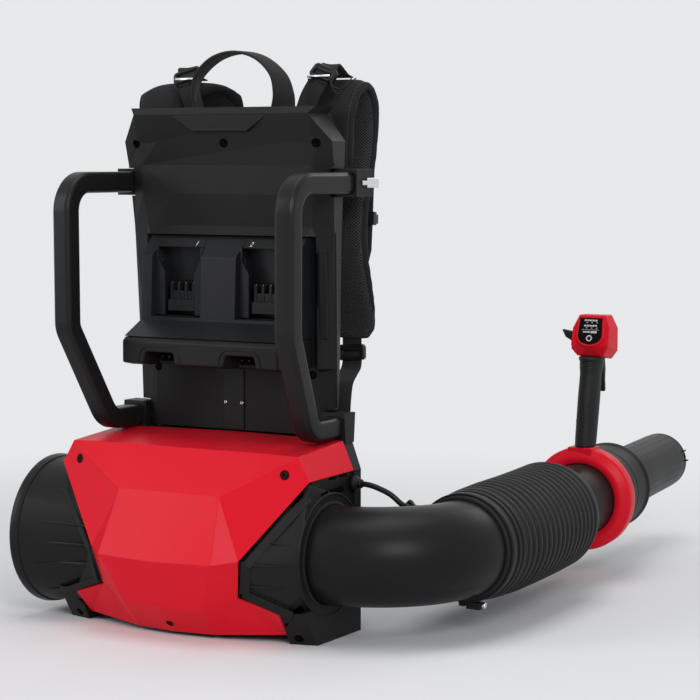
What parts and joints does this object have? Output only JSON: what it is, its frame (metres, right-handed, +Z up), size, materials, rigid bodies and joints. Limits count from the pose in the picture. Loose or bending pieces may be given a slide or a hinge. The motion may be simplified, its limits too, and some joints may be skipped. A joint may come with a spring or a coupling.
{
  "type": "backpack leaf blower",
  "caption": "Backpack leaf blower: faceted fan base with side intake bell, tall battery housing with guard bars, padded harness, and a swivelling ribbed hose with a trigger handle.",
  "frame": {"origin": "on the ground under the fan's axis, in the machine's middle plane (the underside of base_plate)", "axes": "+Z up; +Y the way the wearer faces, so the harness is at +Y and the battery bays face -Y; +X to the wearer's right, where the blower tube is. The fan's axis runs along X."},
  "size_m": [0.4984, 0.8341, 0.5905],
  "materials": {
    "black_plastic": "satin",
    "dark_grey_plastic": "satin",
    "red_plastic": "satin",
    "gloss_black_plastic": "gloss",
    "black_rubber": "matte",
    "cable_jacket": "satin",
    "bright_steel": "satin",
    "motor_iron": "matte",
    "black_fabric": "matte",
    "black_webbing": "matte"
  },
  "bodies": {
    "blower_body": {"fan_housing": "black_plastic", "base_plate": "black_plastic", "red_cover": "red_plastic", "intake_bell": "black_plastic", "intake_grille": "black_plastic", "fan_duct": "dark_grey_plastic", "guide_vanes": "dark_grey_plastic", "motor_stator": "motor_iron", "motor_tail_cap": "dark_grey_plastic", "front_bearing": "bright_steel", "rear_bearing": "bright_steel", "upper_housing": "black_plastic", "back_plate": "black_plastic", "controller_board": "dark_grey_plastic", "battery_dock": "dark_grey_plastic", "terminal_block_1": "gloss_black_plastic", "terminal_block_2": "gloss_black_plastic", "battery_shelf": "black_plastic", "guard_bar_left": "black_plastic", "bar_clamp_left": "black_plastic", "bar_hook_left": "bright_steel", "shoulder_pad_left": "black_fabric", "lifter_strap_left": "black_webbing", "ladder_lock_left": "gloss_black_plastic", "lower_strap_left": "black_webbing", "lower_buckle_left": "gloss_black_plastic", "chest_rail_left": "black_webbing", "guard_bar_right": "black_plastic", "bar_clamp_right": "black_plastic", "bar_hook_right": "bright_steel", "shoulder_pad_right": "black_fabric", "lifter_strap_right": "black_webbing", "ladder_lock_right": "gloss_black_plastic", "lower_strap_right": "black_webbing", "lower_buckle_right": "gloss_black_plastic", "chest_rail_right": "black_webbing", "back_pad": "black_fabric", "carry_handle": "black_webbing", "cable_gland": "black_plastic", "body_cable": "cable_jacket"},
    "fan_rotor": {"impeller": "dark_grey_plastic", "motor_rotor": "motor_iron", "motor_shaft": "bright_steel"},
    "elbow": {"elbow_tube": "gloss_black_plastic", "hose_clamp": "black_plastic", "clamp_screw": "bright_steel", "bellows": "black_rubber", "hose_cable": "cable_jacket"},
    "front_hose": {"front_tube": "black_plastic", "handle_cable": "cable_jacket"},
    "handle": {"handle_ring": "red_plastic", "grip": "black_rubber", "handle_head": "red_plastic", "display_panel": "gloss_black_plastic"},
    "throttle_trigger": {"trigger": "red_plastic"},
    "cruise_control": {"cruise_lever": "black_plastic"},
    "power_key": {"power_button": "gloss_black_plastic"},
    "end_tube": {"nozzle_tube": "gloss_black_plastic"},
    "chest_slider_l": {"chest_slider_left": "gloss_black_plastic"},
    "chest_slider_r": {"chest_slider_right": "gloss_black_plastic"}
  },
  "joints": [
    {"name": "impeller_spin", "type": "hinge", "parent": "blower_body", "child": "fan_rotor", "pos_m": [0, 0, 0.087], "axis": [1, 0, 0], "continuous": true},
    {"name": "elbow_swivel", "type": "hinge", "parent": "blower_body", "child": "elbow", "pos_m": [0.15, 0, 0.087], "axis": [1, 0, 0], "range_deg": [-25, 35], "deforming": ["body_cable"]},
    {"name": "hose_swing", "type": "hinge", "parent": "elbow", "child": "front_hose", "pos_m": [0.24484, 0.21747, 0.08756], "axis": [0, 0, 1], "range_deg": [-20, 20], "deforming": ["bellows", "hose_cable"]},
    {"name": "handle_slide", "type": "slide", "parent": "front_hose", "child": "handle", "axis": [-0.0872, 0.9959, 0.0226], "range_m": [-0.04, 0], "deforming": ["handle_cable"]},
    {"name": "nozzle_twist", "type": "hinge", "parent": "front_hose", "child": "end_tube", "pos_m": [0.21943, 0.53285, 0.09415], "axis": [-0.0872, 0.9959, 0.0226], "range_deg": [0, 20]},
    {"name": "trigger_squeeze", "type": "hinge", "parent": "handle", "child": "throttle_trigger", "pos_m": [0.22904, 0.477, 0.249], "axis": [-1, 0, 0], "range_deg": [0, 12], "stiffness_Nm_per_rad": 0.05, "springref_deg": -14.32},
    {"name": "cruise_lever_turn", "type": "hinge", "parent": "handle", "child": "cruise_control", "pos_m": [0.20544, 0.466, 0.275], "axis": [1, 0, 0], "range_deg": [0, 50]},
    {"name": "power_press", "type": "slide", "parent": "handle", "child": "power_key", "axis": [0, 0.9718, -0.236], "range_m": [0, 0.0012], "stiffness_N_per_m": 300, "springref_m": -0.001},
    {"name": "chest_slide_left", "type": "slide", "parent": "blower_body", "child": "chest_slider_l", "axis": [0.0178, 0.0889, 0.9959], "range_m": [-0.025, 0.025]},
    {"name": "chest_slide_right", "type": "slide", "parent": "blower_body", "child": "chest_slider_r", "axis": [-0.0178, 0.0889, 0.9959], "range_m": [-0.025, 0.025]}
  ]
}
